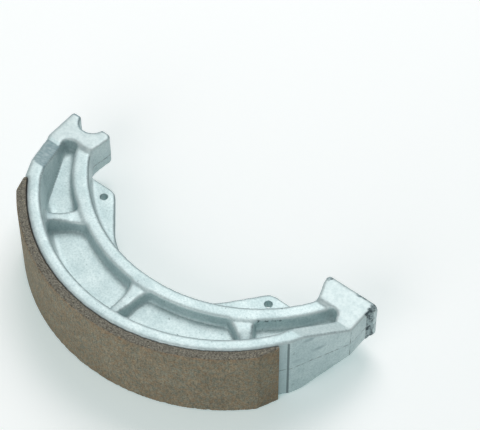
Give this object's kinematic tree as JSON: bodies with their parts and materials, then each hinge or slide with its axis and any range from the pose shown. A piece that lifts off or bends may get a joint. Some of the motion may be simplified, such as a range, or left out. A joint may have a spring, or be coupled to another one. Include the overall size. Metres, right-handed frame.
{
  "type": "drum brake shoe",
  "caption": "Drum brake shoe: a ribbed cast aluminium crescent with an anchor saddle, a flat cam pad and spring ears, its outer table faced with a bonded friction lining.",
  "frame": {"origin": "on the brake drum's axis, at the shoe's mid-plane", "axes": "Z along the drum's axis, across the lining's width; X from the anchor end (-X) to the cam end (+X); the lining's middle at -Y, the shoe's open side at +Y"},
  "size_m": [0.1507, 0.0762, 0.035],
  "materials": {
    "casting": "as pressure die cast, pale satin skin; lining seat and cam face machined",
    "lining": "moulded resin-bonded friction composite, ground matt to the drum's radius"
  },
  "bodies": {
    "root": {"shoe_casting": "casting", "friction_lining": "lining"}
  },
  "joints": []
}
